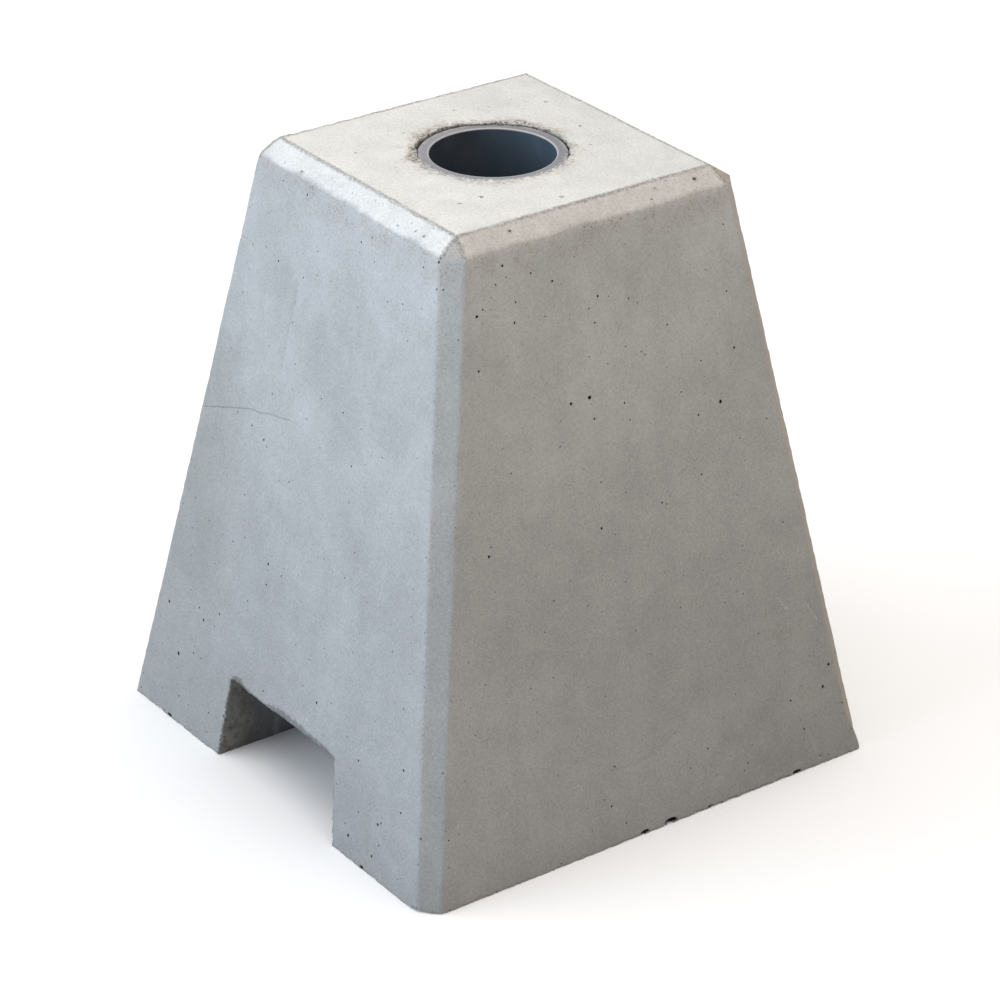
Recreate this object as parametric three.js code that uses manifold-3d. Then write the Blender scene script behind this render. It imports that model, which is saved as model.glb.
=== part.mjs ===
// Cast concrete base block for a post: a tapered block with a plastic sleeve pipe down its
// middle and a channel through its foot. Millimetres, +Z up, origin under the middle of the base.
// The channel runs along Y, from the front face (-Y) to the back face (+Y).
import * as THREE from 'three';
import { ConvexGeometry } from 'three/addons/geometries/ConvexGeometry.js';
import { mergeVertices } from 'three/addons/utils/BufferGeometryUtils.js';
import Module from 'manifold-3d';

// Block
const blockHeight = 260;
const baseWidth = 227;
// Width that the tapered faces would reach at the top, before the top edges are chamfered
const topWidth = 138;
const topChamferRun = 8;
const topChamferDrop = 6.5;
// Leg of the chamfer down each corner of the block, measured along the faces
const arrisLeg = 7.2;

// Channel through the foot, wider at the floor so that its former pulls out
const channelFootWidth = 86;
const channelCeilingWidth = 77;
const channelHeight = 35.5;
// The former sat a little off the middle and leaned, so each end of its section has its own offset
const channelFootOffset = 3;
const channelCeilingOffset = 1;
// Broken lip along the front edge of the channel's ceiling
const spallLength = 46;
const spallHeight = 2;
const spallDepth = 2.6;

// Sleeve pipe
const sleeveDiameter = 60;
const sleeveWall = 4.5;
// How far its cut end lies below the top face
const sleeveRecess = 1;
const sleeveClearance = 0.3;
const sleeveSides = 72;

// Chips broken out of the foot of the block, measured along the edge, up the face and into the block.
// at is the place along the half edge, from -1 to 1.
const footChips = [
  { face: 'right', at: 0.10, length: 8, rise: 2.6, depth: 3 },
  { face: 'right', at: -0.07, length: 6, rise: 1.8, depth: 2.4 },
  { face: 'right', at: 0.66, length: 6, rise: 2.2, depth: 2.4 },
  { face: 'right', at: 0.33, length: 10, rise: 1.5, depth: 2 },
  { face: 'front', at: -0.73, length: 8, rise: 2, depth: 2 },
  { face: 'front', at: 0.72, length: 5, rise: 2, depth: 1.8 },
  { face: 'back', at: 0.58, length: 7, rise: 2, depth: 2 },
  { face: 'left', at: -0.35, length: 8, rise: 2, depth: 2.2 },
];
const faceTurn = { front: 0, right: Math.PI / 2, back: Math.PI, left: -Math.PI / 2 };

const wasm = await Module();
wasm.setup();

function toSolid(geometry) {
  const bare = geometry.index ? geometry.toNonIndexed() : geometry.clone();
  bare.deleteAttribute('normal');
  bare.deleteAttribute('uv');
  const merged = mergeVertices(bare, 1e-4);
  return new wasm.Manifold(new wasm.Mesh({
    numProp: 3,
    vertProperties: new Float32Array(merged.attributes.position.array),
    triVerts: new Uint32Array(merged.index.array),
  }));
}

function toGeometry(solid) {
  const mesh = solid.getMesh();
  const geometry = new THREE.BufferGeometry();
  geometry.setAttribute('position', new THREE.BufferAttribute(mesh.vertProperties, 3));
  geometry.setIndex(new THREE.BufferAttribute(mesh.triVerts, 1));
  geometry.computeVertexNormals();
  return geometry;
}

// Half the width across the tapered faces at height z
function halfWidthAt(z) {
  return (baseWidth + (topWidth - baseWidth) * z / blockHeight) / 2;
}

// The eight corners of the block's section at height z, with its arrises chamfered by leg
function sectionPoints(z, leg) {
  const half = halfWidthAt(z);
  const points = [];
  for (const x of [-1, 1]) {
    for (const y of [-1, 1]) {
      points.push(new THREE.Vector3(x * half, y * (half - leg), z));
      points.push(new THREE.Vector3(x * (half - leg), y * half, z));
    }
  }
  return points;
}

// The body: each arris chamfer ends at the shoulder, and from there a three-sided facet
// narrows to the sharp corner of the top face.
function bodySolid() {
  const shoulder = blockHeight - topChamferDrop;
  const topHalf = topWidth / 2 - topChamferRun;
  const points = [...sectionPoints(0, arrisLeg), ...sectionPoints(shoulder, arrisLeg)];
  for (const x of [-1, 1]) {
    for (const y of [-1, 1]) {
      points.push(new THREE.Vector3(x * topHalf, y * topHalf, blockHeight));
    }
  }
  return toSolid(new ConvexGeometry(points));
}

// A bar of the channel's section, long enough to pass both faces
function channelSolid() {
  const overrun = 10;
  const wallAt = (side, z) => {
    const foot = channelFootOffset + side * channelFootWidth / 2;
    const ceiling = channelCeilingOffset + side * channelCeilingWidth / 2;
    return foot + (ceiling - foot) * z / channelHeight;
  };
  const outline = new THREE.Shape([
    new THREE.Vector2(wallAt(-1, -overrun), -overrun),
    new THREE.Vector2(wallAt(1, -overrun), -overrun),
    new THREE.Vector2(wallAt(1, channelHeight), channelHeight),
    new THREE.Vector2(wallAt(-1, channelHeight), channelHeight),
  ]);
  const length = baseWidth + 2 * overrun;
  const bar = new THREE.ExtrudeGeometry(outline, { depth: length, bevelEnabled: false });
  bar.rotateX(Math.PI / 2);
  bar.translate(0, length / 2, 0);
  return toSolid(bar);
}

// A wedge taken off the front edge of the channel's ceiling, where the lip broke away.
// It starts at the right end of the ceiling and runs out to nothing on the left.
function spallSolid() {
  const overrun = 1;
  const faceY = -halfWidthAt(channelHeight);
  const outside = faceY - spallDepth;
  const below = channelHeight - overrun;
  const right = channelCeilingOffset + channelCeilingWidth / 2;
  const middle = right - spallLength / 2;
  const left = right - spallLength;
  const points = [
    new THREE.Vector3(left, faceY, below),
    new THREE.Vector3(left, outside, channelHeight),
    new THREE.Vector3(right, outside, below),
    new THREE.Vector3(right, outside, channelHeight + spallHeight / 2),
    new THREE.Vector3(right, faceY + spallDepth / 2, below),
    new THREE.Vector3(middle, outside, channelHeight + spallHeight),
    new THREE.Vector3(middle, faceY, channelHeight + spallHeight),
    new THREE.Vector3(middle, faceY + spallDepth, below),
  ];
  return toSolid(new ConvexGeometry(points));
}

// A rounded lump centred on the foot's edge, tipped by its own place so that no two breaks match
function footChipSolid(chip) {
  const half = baseWidth / 2;
  const tip = chip.at / 2;
  const lump = new THREE.IcosahedronGeometry(1, 1);
  lump.scale(chip.length / 2, chip.depth, chip.rise);
  lump.rotateY(tip);
  lump.translate(chip.at * half, -half, 0);
  lump.rotateZ(faceTurn[chip.face]);
  return toSolid(lump);
}

function boreSolid() {
  const overrun = 10;
  const radius = sleeveDiameter / 2 + sleeveClearance;
  const length = blockHeight - channelHeight + 2 * overrun;
  const plug = new THREE.CylinderGeometry(radius, radius, length, sleeveSides);
  plug.rotateX(Math.PI / 2);
  plug.translate(0, 0, channelHeight - overrun + length / 2);
  return toSolid(plug);
}

function concreteBlock() {
  let block = bodySolid().subtract(channelSolid()).subtract(boreSolid()).subtract(spallSolid());
  for (const chip of footChips) {
    block = block.subtract(footChipSolid(chip));
  }
  const concrete = new THREE.MeshStandardMaterial({ color: 0xb9bab6, roughness: 0.95, metalness: 0 });
  const mesh = new THREE.Mesh(toGeometry(block), concrete);
  mesh.name = 'concrete_block';
  return mesh;
}

// The pipe stands on the channel's ceiling line and stops just under the top face.
function sleevePipe() {
  const outer = sleeveDiameter / 2;
  const inner = outer - sleeveWall;
  const length = blockHeight - sleeveRecess - channelHeight;
  const rimBreak = 0.4;
  const profile = [
    new THREE.Vector2(inner, 0),
    new THREE.Vector2(outer, 0),
    new THREE.Vector2(outer, length),
    new THREE.Vector2(inner + rimBreak, length),
    new THREE.Vector2(inner, length - rimBreak),
    new THREE.Vector2(inner, 0),
  ];
  const geometry = new THREE.LatheGeometry(profile, sleeveSides);
  geometry.rotateX(Math.PI / 2);
  const plastic = new THREE.MeshStandardMaterial({ color: 0x6d6f78, roughness: 0.5, metalness: 0 });
  const mesh = new THREE.Mesh(geometry, plastic);
  mesh.name = 'sleeve_pipe';
  mesh.position.set(0, 0, channelHeight);
  return mesh;
}

const columnBaseBlock = new THREE.Group();
columnBaseBlock.add(concreteBlock());
columnBaseBlock.add(sleevePipe());

export default columnBaseBlock;
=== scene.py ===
from collections import Counter
import math
import random
from types import SimpleNamespace
import bpy
import bmesh
import numpy as np
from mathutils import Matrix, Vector, noise
from mathutils.geometry import delaunay_2d_cdt


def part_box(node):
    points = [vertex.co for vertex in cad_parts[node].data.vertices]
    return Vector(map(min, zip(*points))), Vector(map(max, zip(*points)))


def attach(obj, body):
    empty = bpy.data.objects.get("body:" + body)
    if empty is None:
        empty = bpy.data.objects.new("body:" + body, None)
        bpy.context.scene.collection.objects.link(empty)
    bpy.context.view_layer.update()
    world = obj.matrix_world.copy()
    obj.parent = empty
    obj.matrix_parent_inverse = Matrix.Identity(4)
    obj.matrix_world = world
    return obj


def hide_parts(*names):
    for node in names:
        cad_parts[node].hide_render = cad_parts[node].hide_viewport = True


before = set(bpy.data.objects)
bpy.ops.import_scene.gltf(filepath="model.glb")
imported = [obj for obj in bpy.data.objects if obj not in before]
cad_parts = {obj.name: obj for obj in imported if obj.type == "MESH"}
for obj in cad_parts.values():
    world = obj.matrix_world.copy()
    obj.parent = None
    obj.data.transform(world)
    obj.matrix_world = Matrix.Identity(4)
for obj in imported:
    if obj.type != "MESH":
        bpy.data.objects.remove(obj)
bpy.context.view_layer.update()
mm = 0.001

# Lengths below are in millimetres. What the frame knows is read from it.
lowCorner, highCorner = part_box("concrete_block")
sleeveLow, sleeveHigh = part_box("sleeve_pipe")

block = {
    "height": highCorner.z / mm,
    "baseHalf": highCorner.x / mm,
    "topHalf": 69.0,          # where the tapered faces would meet the top
    "topFlatHalf": 61.0,
    "shoulderHeight": 253.5,  # the top chamfers start here
    "arrisLeg": 7.2,
    "channelCeiling": sleeveLow.z / mm,
    "channelFoot": (-40.0, 46.0),   # the channel's walls at the floor, left and right
    "channelTop": (-37.5, 39.5),    # and at its ceiling
    "boreRadius": 30.3,
    "boreSides": 224,
    "edgeStep": 0.85,         # spacing of the points along every worn edge
    "bands": [(0.6, 2.2, 0.9), (2.2, 5, 1.8), (5, 12, 3.2), (12, 400, 5.6)],  # from, to, spacing
    "topBands": [(0.6, 2.2, 0.9), (2.2, 400, 1.9)],
    "bow": 1.0,               # how far a border bows out while its face is filled
    "raggedReach": 0.9,       # how far into a face the breaks along its edges reach
    "browBack": 0.28,         # the brow's break goes back over the ceiling by this share of its rise
    "browShade": 0.85,        # and how dark its painted shade is
    "struckBelow": 0.04,      # nothing stands nearer to the mould's rim than this
    "unevenness": 0.22,
    "seed": 11,
}

# How each kind of edge has worn: rounding radius, depth of its ragged breaks, their length
wear = {
    "arris": {"round": 0.9, "ragged": 0.28, "grain": 5.0},
    "facet": {"round": 0.8, "ragged": 0.35, "grain": 2.5},
    "easedFacet": {"round": 5.0, "ragged": 0.1, "grain": 6.0},
    "shoulder": {"round": 6.0, "ragged": 0.35, "grain": 9.0},
    "topEdge": {"round": 0.35, "ragged": 0.5, "grain": 2.6},
    "foot": {"round": 0.5, "ragged": 0.6, "grain": 4.0},
    "mouth": {"round": 0.5, "ragged": 0.75, "grain": 4.0},
    "brow": {"round": 0.3, "ragged": 0.3, "grain": 3.0},
    "channel": {"round": 0.4, "ragged": 0.4, "grain": 6.0},
    "corner": {"round": 0.0, "ragged": 0.1, "grain": 6.0},
}

# The brow is the front edge of the channel's ceiling. Its paste has broken away: place along it, rise
browBreak = [(-37.5, 1.2), (-35, 3.6), (-31.6, 4.1), (-28, 2.3), (-20, 1.6), (-13, 1.2), (-7, 2.4),
             (-0.7, 4.2), (7, 4.0), (14.9, 3.4), (22, 3.2), (28, 2.6), (34, 2.0), (39.5, 1.2)]

# Places where the casting swells or has worn back: place, reach, and how far it moves
swells = [
    ((113.5, 106.3, 0.0), (8, 14, 26), (0.0, 2.9, 0.0)),       # the right-hand rear foot flares out
    ((106.0, -113.5, 0.0), (7, 7, 7), (-0.3, 0.5, 1.3)),       # the near foot's corner is worn round
    ((112.5, -107.0, 0.0), (4, 4, 4), (-0.4, 0.2, 0.4)),
    ((-69.0, -63.0, 254.0), (6, 6, 6), (0.6, 0.5, -0.5)),      # so is the left-hand shoulder
]

# Cracks and scratches: the face, places along it with their heights, half width, depth.
# A shade above 0 is dark, below 0 is a pale scuff.
marks = [
    {"side": 0, "half": 0.22, "depth": 0.25, "shade": 0.6,
     "line": [(-80, 140.6), (-66.5, 145.4), (-57, 148.6), (-46.5, 152.1), (-40, 152.8),
              (-33.6, 154.9), (-25, 156.2), (-19.4, 157.5)]},
    {"side": 0, "half": 0.25, "depth": 0.12, "shade": 0.3,
     "line": [(-24.7, 214), (-27.4, 196), (-29.3, 175)]},
    {"side": 1, "half": 0.25, "depth": 0.12, "shade": 0.4,
     "line": [(-19, 32.5), (-9, 31), (4, 32.4), (13, 37)]},
    {"side": 1, "half": 0.3, "depth": 0.1, "shade": -0.8, "line": [(72.5, 78), (76, 73)]},
    {"side": 1, "half": 0.3, "depth": 0.1, "shade": -0.8, "line": [(86, 73), (92, 62.5)]},
    {"side": 1, "half": 0.3, "depth": 0.1, "shade": -0.7, "line": [(-71.5, 30), (-69, 34)]},
]

rng = random.Random(block["seed"])
shuffle = np.random.default_rng(block["seed"])


def unit(v):
    v = np.asarray(v, float)
    return v / np.linalg.norm(v)


# A point turned about the block's axis by quarter turns
def turned(point, quarterTurns):
    x, y, z = point
    for _ in range(quarterTurns % 4):
        x, y = -y, x
    return np.array([x, y, z], float)


def halfAt(z):
    return block["baseHalf"] + (block["topHalf"] - block["baseHalf"]) * z / block["height"]


# A place on one of the tapered faces: 0 front, 1 right, 2 back, 3 left
def onSide(side, along, z):
    return turned((along, -halfAt(z), z), side)


def wavy(p, length, octaves=4):
    return noise.fractal(Vector(p) / length, 0.9, 2.1, octaves)


# Corners of the cast form. Arris k stands between side k and side k + 1.
def castCorners():
    leg = block["arrisLeg"]
    top = block["topFlatHalf"]
    corners = {}
    for k in range(4):
        for level, z in (("foot", 0.0), ("shoulder", block["shoulderHeight"])):
            half = halfAt(z)
            corners[level + "Before", k] = turned((half - leg, -half, z), k)
            corners[level + "After", k] = turned((half, leg - half, z), k)
        corners["top", k] = turned((top, -top, block["height"]), k)
    ceiling = block["channelCeiling"]
    for end, sign in ((0, -1), (2, 1)):
        for hand in (0, 1):
            atFoot, atTop = block["channelFoot"][hand], block["channelTop"][hand]
            corners["mouthFoot", end, hand] = np.array([atFoot, sign * halfAt(0), 0.0])
            corners["mouthTop", end, hand] = np.array([atTop, sign * halfAt(ceiling), ceiling])
    return corners


corners = castCorners()
places = []         # where each point of the cast form lies
ownPatches = []     # the faces that it belongs to
ownKind = []        # the kind of edge that it lies on
triangles = []
cornerIds = {}
edgeIds = {}


def addPoint(p, kind=None):
    places.append(np.asarray(p, float))
    ownPatches.append(set())
    ownKind.append(kind)
    return len(places) - 1


def cornerId(name, kind):
    if name not in cornerIds:
        cornerIds[name] = addPoint(corners[name], kind)
    return cornerIds[name]


# The points along the edge between two corners, made once and shared by both its faces
def edgeLine(a, b, kind):
    if (b, a) in edgeIds:
        return edgeIds[b, a][::-1]
    if (a, b) not in edgeIds:
        start, end = corners[a], corners[b]
        count = max(2, round(np.linalg.norm(end - start) / block["edgeStep"]))
        ids = [cornerId(a, kind)]
        for i in range(1, count):
            slip = (rng.random() - 0.5) * 0.5
            ids.append(addPoint(start + (end - start) * (i + slip) / count, kind))
        ids.append(cornerId(b, kind))
        edgeIds[a, b] = ids
    return edgeIds[a, b]


def insideLoops(points, loops):
    inside = np.zeros(len(points), bool)
    for loop in loops:
        for (x0, y0), (x1, y1) in zip(loop, np.roll(loop, -1, axis=0)):
            if y0 == y1:
                continue
            crosses = (y0 > points[:, 1]) != (y1 > points[:, 1])
            inside ^= crosses & (points[:, 0] < (x1 - x0) * (points[:, 1] - y0) / (y1 - y0) + x0)
    return inside


def distanceToLine(points, a, b):
    along = b - a
    t = np.clip(((points - a) @ along) / (along @ along), 0, 1)
    return np.linalg.norm(points - (a + t[:, None] * along), axis=1)


# Rows of points along a crack: its two rims and its floor
def markPoints(mark, flat):
    line = [flat(onSide(mark["side"], along, z)) for along, z in mark["line"]]
    rows = []
    for a, b in zip(line, line[1:]):
        count = max(2, round(np.linalg.norm(b - a) / 0.7))
        across = np.array([a[1] - b[1], b[0] - a[0]]) / np.linalg.norm(b - a)
        for i in range(count):
            waver = across * 0.25 * math.sin(i * 1.7 + a[0])
            centre = a + (b - a) * i / count + waver
            width = mark["half"] * rng.uniform(0.7, 1.3)
            rows += [(centre, mark["depth"], mark["shade"]), (centre + across * width, 0, 0),
                     (centre - across * width, 0, 0)]
    return line, rows


def sidesOf(cell):
    return [frozenset(pair) for pair in zip(cell, cell[1:] + cell[:1])]


# A sliver outside the border shows itself by a side that is neither shared nor on the border
def withoutSlivers(cells, border):
    uses = Counter(side for cell in cells for side in sidesOf(cell))
    stray = {side for side, count in uses.items() if count == 1 and side not in border}
    return [cell for cell in cells if stray.isdisjoint(sidesOf(cell))]


# How far outside a ring of points each point lies
def distanceToRing(points, ring):
    centre = ring.mean(0)
    angles = np.arctan2(*(ring - centre).T[::-1])
    order = np.argsort(angles)
    reach = np.linalg.norm(ring - centre, axis=1)[order]
    toward = points - centre
    heading = np.arctan2(toward[:, 1], toward[:, 0])
    rim = np.interp(heading, angles[order], reach, period=2 * math.pi)
    return np.linalg.norm(toward, axis=1) - rim


# Points all over a flat face, in bands that are finer beside its edges
def bandPoints(bands, sides, straight, loops):
    low, high = loops[0].min(0), loops[0].max(0)
    inner = []
    for start, end, step in bands:
        xs = np.arange(low[0], high[0], step)
        ys = np.arange(low[1], high[1], step * 0.866)
        gx, gy = np.meshgrid(xs, ys)
        gx = gx + (np.arange(len(ys)) % 2)[:, None] * step / 2
        grid = np.stack([gx.ravel(), gy.ravel()], 1)
        grid += (shuffle.random(grid.shape) - 0.5) * step * 0.4
        away = np.min([distanceToLine(grid, a, b) for a, b in sides], axis=0)
        for ring in loops[1:]:
            away = np.minimum(away, distanceToRing(grid, ring))
        grid = grid[(away >= start) & (away < end)]
        inner.append(grid[insideLoops(grid, [straight] + loops[1:])])
    return np.concatenate(inner)


# Joins the points of one flat face into triangles that keep to its border and to its ring
def joinPoints(name, ids, loops, flat):
    middle = (loops[0].min(0) + loops[0].max(0)) / 2
    flatPoints = [Vector(p - middle) for loop in loops for p in loop]
    flatPoints += [Vector(flat(places[i]) - middle) for i in ids[len(flatPoints):]]
    borders = []
    first = 0
    for loop in loops:
        borders += [(first + i, first + (i + 1) % len(loop)) for i in range(len(loop))]
        first += len(loop)
    found, _, cells, sources, _, _ = delaunay_2d_cdt(flatPoints, borders, [], 0, 1e-9)
    if len(found) != len(ids):
        raise RuntimeError(f"{name}: {len(found)} points from {len(ids)}")
    own = [ids[s[0]] for s in sources]
    middles = np.array([np.mean([found[i] for i in cell], axis=0) for cell in cells]) + middle
    within = insideLoops(middles, loops)
    kept = [[own[i] for i in cell] for cell, isWithin in zip(cells, within) if isWithin]
    return withoutSlivers(kept, {frozenset((ids[i], ids[j])) for i, j in borders})


patches = []
sunk = {}       # extra depth of the points on cracks
shaded = {}     # and their shade, with the painted shade of the brow's break


# Fills one flat face of the cast form with triangles, small beside its edges and larger away from them
def fillPatch(name, outline, normal, bands, ring=None, side=None):
    normal = unit(normal)
    origin = corners[outline[0][0]]
    across = unit(corners[outline[0][1]] - origin)
    up = np.cross(normal, across)

    def flat(p):
        return np.array([(p - origin) @ across, (p - origin) @ up])

    rough = np.array([flat(corners[a]) for a, _, _ in outline])
    after = np.roll(rough, -1, axis=0)
    turn = np.sign(np.sum(rough[:, 0] * after[:, 1] - rough[:, 1] * after[:, 0]))
    ids = []
    border = []
    for a, b, kind in outline:
        edge = edgeLine(a, b, kind)
        way = flat(corners[b]) - flat(corners[a])
        outward = turn * np.array([way[1], -way[0]]) / np.linalg.norm(way)
        for i, point in enumerate(edge[:-1]):
            t = i / (len(edge) - 1)
            border.append(flat(places[point]) + outward * block["bow"] * 4 * t * (1 - t))
            ids.append(point)
    straight = np.array([flat(places[i]) for i in ids])
    loops = [np.array(border)]
    if ring is not None:
        loops.append(np.array([flat(places[i]) for i in ring]))
        ids += ring
    sides = [(flat(corners[a]), flat(corners[b])) for a, b, _ in outline]
    inner = bandPoints(bands, sides, straight, loops)
    rows = []
    for mark in marks:
        if side == mark["side"]:
            line, more = markPoints(mark, flat)
            rows += more
            near = np.min([distanceToLine(inner, a, b) for a, b in zip(line, line[1:])], axis=0)
            inner = inner[near > 1.0]
    for p in inner:
        ids.append(addPoint(origin + across * p[0] + up * p[1]))
    for p, depth, shade in rows:
        ids.append(addPoint(origin + across * p[0] + up * p[1]))
        sunk[ids[-1]] = depth
        shaded[ids[-1]] = shade
    triangles.extend(joinPoints(name, ids, loops, flat))
    for i in ids:
        ownPatches[i].add(len(patches))
    lines = [(corners[a], corners[b], kind) for a, b, kind in outline]
    patches.append({"name": name, "normal": normal, "lines": lines, "ids": ids})


# The broken lip of paste round the sleeve: where it gapes, how widely round the hole, and by how much.
# Below 0 it hangs over the pipe's rim.
lip = {
    "levels": (260.0, 259.3, 259.05, 258.2, 256.8, 254.5),
    "gapes": [(218, 0.28, 1.5), (186, 0.22, 1.3), (98, 0.18, 0.9), (62, 0.3, 1.0), (142, 0.5, -1.4),
              (270, 0.6, -0.3)],
    "ragged": 0.95,
    "least": 28.6,
}


def lipRadius(angle, level):
    x, y = math.cos(angle), math.sin(angle)
    gape = 0.0
    for centre, spread, width in lip["gapes"]:
        away = (angle - math.radians(centre) + math.pi) % (2 * math.pi) - math.pi
        gape += width * math.exp(-(away / spread) ** 2)
    jag = wavy((x * 30, y * 30, 0), 3.2) * lip["ragged"] + wavy((x * 30, y * 30, 9), 12) * 0.5
    depth = (lip["levels"][0] - level) / (lip["levels"][0] - lip["levels"][-1])
    mouth = max(lip["least"], block["boreRadius"] - 0.15 + gape + jag)
    if level < sleeveHigh.z / mm + 0.1:
        mouth = max(mouth, block["boreRadius"])
    return mouth + (block["boreRadius"] - mouth) * depth ** 1.5


def boreRings():
    sides = block["boreSides"]
    rings = []
    levels = list(lip["levels"]) + list(np.linspace(lip["levels"][-1], block["channelCeiling"], 9)[1:])
    for z in levels:
        ring = []
        for i in range(sides):
            angle = 2 * math.pi * i / sides
            radius = lipRadius(angle, z) if z > lip["levels"][-1] else block["boreRadius"]
            ring.append(addPoint((radius * math.cos(angle), radius * math.sin(angle), z), "bore"))
        rings.append(ring)
    for upper, lower in zip(rings, rings[1:]):
        for i in range(sides):
            j = (i + 1) % sides
            triangles.append([upper[i], upper[j], lower[j]])
            triangles.append([upper[i], lower[j], lower[i]])
    return rings[0], rings[-1]


# One of the four tapered sides, from corner p round to corner k, with the channel's mouth in two of them
def sideOutline(k, p):
    outline = [(("footBefore", k), ("shoulderBefore", k), "arris"),
               (("shoulderBefore", k), ("shoulderAfter", p), "shoulder"),
               (("shoulderAfter", p), ("footAfter", p), "arris")]
    if k in (1, 3):
        return outline + [(("footAfter", p), ("footBefore", k), "foot")]
    near, far = (0, 1) if k == 0 else (1, 0)
    return outline + [(("footAfter", p), ("mouthFoot", k, near), "foot"),
                      (("mouthFoot", k, near), ("mouthTop", k, near), "mouth"),
                      (("mouthTop", k, near), ("mouthTop", k, far), "brow" if k == 0 else "mouth"),
                      (("mouthTop", k, far), ("mouthFoot", k, far), "mouth"),
                      (("mouthFoot", k, far), ("footBefore", k), "foot")]


def loopOutline(names, kinds):
    return [(names[i], names[(i + 1) % len(names)], kinds[i]) for i in range(len(names))]


# Square to the face through three corners
def facing(a, b, c):
    return np.cross(corners[b] - corners[a], corners[c] - corners[a])


def castForm():
    topRing, ceilingRing = boreRings()
    slope = math.atan((block["baseHalf"] - block["topHalf"]) / block["height"])
    bands = block["bands"]
    for k in range(4):
        p = (k - 1) % 4     # the corner before this one
        out = turned((0, -math.cos(slope), math.sin(slope)), k)
        fillPatch(f"side{k}", sideOutline(k, p), out, bands, side=k)
        a, b, c, d = ("footBefore", k), ("footAfter", k), ("shoulderAfter", k), ("shoulderBefore", k)
        arris = loopOutline([a, b, c, d], ["foot", "arris", "easedFacet", "arris"])
        fillPatch(f"arris{k}", arris, facing(a, b, d), bands)
        e, f, g = ("shoulderAfter", p), ("top", k), ("top", p)
        facet = loopOutline([d, c, f], ["easedFacet", "facet", "facet"])
        fillPatch(f"facet{k}", facet, facing(d, c, f), bands)
        chamfer = loopOutline([e, d, f, g], ["shoulder", "facet", "topEdge", "facet"])
        fillPatch(f"chamfer{k}", chamfer, facing(e, d, f), bands)
    top = loopOutline([("top", k) for k in range(4)], ["topEdge"] * 4)
    fillPatch("top", top, (0, 0, 1), block["topBands"], ring=topRing)
    leftFoot = [("mouthFoot", 0, 0), ("footAfter", 3), ("footBefore", 3),
                ("footAfter", 2), ("footBefore", 2), ("mouthFoot", 2, 0)]
    rightFoot = [("mouthFoot", 2, 1), ("footAfter", 1), ("footBefore", 1),
                 ("footAfter", 0), ("footBefore", 0), ("mouthFoot", 0, 1)]
    for name, names in (("leftFoot", leftFoot), ("rightFoot", rightFoot)):
        fillPatch(name, loopOutline(names, ["foot"] * 5 + ["channel"]), (0, 0, -1), bands)
    for hand in (0, 1):
        loop = [("mouthFoot", 0, hand), ("mouthFoot", 2, hand),
                ("mouthTop", 2, hand), ("mouthTop", 0, hand)]
        out = facing(loop[0], loop[1], loop[3])
        wall = loopOutline(loop, ["channel", "mouth", "corner", "mouth"])
        fillPatch(f"channelWall{hand}", wall, out if hand == 0 else -out, bands)
    loop = [("mouthTop", 0, 0), ("mouthTop", 2, 0), ("mouthTop", 2, 1), ("mouthTop", 0, 1)]
    ceiling = loopOutline(loop, ["corner", "mouth", "corner", "brow"])
    fillPatch("channelCeiling", ceiling, (0, 0, -1), bands, ring=ceilingRing)


# How far a worn edge has sunk at this place
def breakDepth(p, kind):
    return wear[kind]["ragged"] * max(0.0, wavy(p, wear[kind]["grain"]) + 0.25)


# How far the brow's break reaches up the face, and back over the ceiling
def browReach(p):
    along, reach = zip(*browBreak)
    rise = max(0.4, np.interp(p[0], along, reach) + 0.35 * wavy((p[0], 0, 0), 2.6))
    return rise, block["browBack"] * rise


# Takes the swells and worn-back places into account
def swollen(p):
    moved = np.array(p, float)
    for centre, reach, push in swells:
        away = np.linalg.norm((p - np.array(centre)) / np.array(reach))
        if away < 1:
            moved += np.array(push) * (1 - away * away) ** 2
    most = halfAt(moved[2]) - 0.05
    moved[:2] = np.clip(moved[:2], -most, most)
    return moved


def unevenDepth(p, name):
    if name in ("leftFoot", "rightFoot"):
        return 0.0
    if name == "top":
        return 0.34 + 0.14 * wavy(p, 22) + 0.08 * wavy(p, 3)
    return block["unevenness"] * (0.6 + wavy(p, 60, 3)) + 0.035 * wavy(p, 5, 3)


# The directions that the two faces at each edge look in
def normalsAtEdges():
    found = {}
    for patch in patches:
        for a, b, _ in patch["lines"]:
            found.setdefault(frozenset((tuple(a), tuple(b))), []).append(patch["normal"])
    return found


# How far the inner points of a face sink beside its worn edges, and how far the brow's break moves them
def wearBesideEdges(patch, inner, edgeNormals):
    at = np.array([places[i] for i in inner])
    depth = np.zeros(len(inner))
    slide = np.zeros((len(inner), 3))
    onCeiling = patch["name"] == "channelCeiling"
    for a, b, kind in patch["lines"]:
        first, second = edgeNormals[frozenset((tuple(a), tuple(b)))]
        half = math.acos(max(-1, min(1, float(first @ second)))) / 2
        radius = wear[kind]["round"]
        tangent = radius * math.tan(half)
        away = distanceToLine(at, a, b)
        drop = radius - np.sqrt(np.maximum(0, radius**2 - (tangent - away) ** 2))
        rounded = np.where(away < tangent, drop, 0)
        ragged = np.zeros(len(inner))
        for j in np.nonzero(away < 2.5)[0]:
            ragged[j] = breakDepth(at[j], kind) * math.exp(-(away[j] / block["raggedReach"]) ** 2)
        if kind == "brow":
            for j in np.nonzero(away < 6)[0]:
                rise, back = browReach(at[j])
                across = back if onCeiling else rise
                if away[j] < across:
                    shift = rise * back / (rise + back) * (1 - away[j] / across)
                    ragged[j] = shift + 0.2 * abs(wavy(at[j], 1.6))
                    slide[j] = (0, shift, 0) if onCeiling else (0, 0, shift)
                    # painted shade on the brow's break, which faces down
                    shaded[inner[j]] = block["browShade"]
        depth = np.maximum(depth, rounded + ragged)
    return depth, slide


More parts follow.
